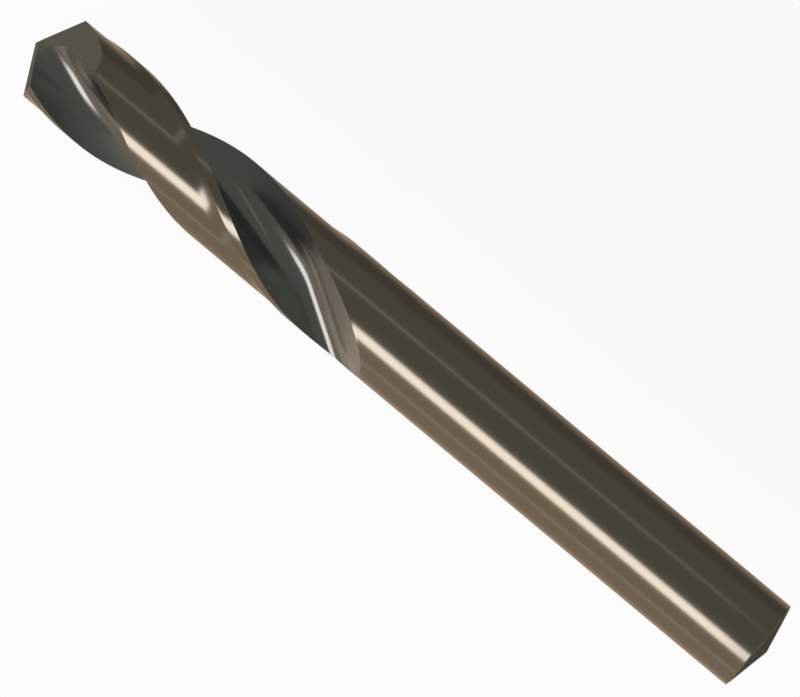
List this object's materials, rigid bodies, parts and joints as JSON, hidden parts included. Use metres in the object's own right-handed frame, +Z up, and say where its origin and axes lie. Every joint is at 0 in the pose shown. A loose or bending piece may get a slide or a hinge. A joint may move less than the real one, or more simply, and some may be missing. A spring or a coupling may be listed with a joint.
{
  "type": "twist drill bit",
  "caption": "Short twist drill ground from one bar, with spiral flutes, narrow margins, a split point and a plain cylindrical shank with a shallow coned end.",
  "frame": {"origin": "on the drill's axis, where the cylindrical shank meets the shallow cone on its end", "axes": "the drill lies along X: +X leaves the shank end, the point is at -X; +Z is up as it lies"},
  "size_m": [0.079, 0.0084, 0.0084],
  "materials": {
    "ground_steel": "bronze oxide tint over finely ground steel"
  },
  "bodies": {
    "root": {"drill_bit": "ground_steel"}
  },
  "joints": []
}
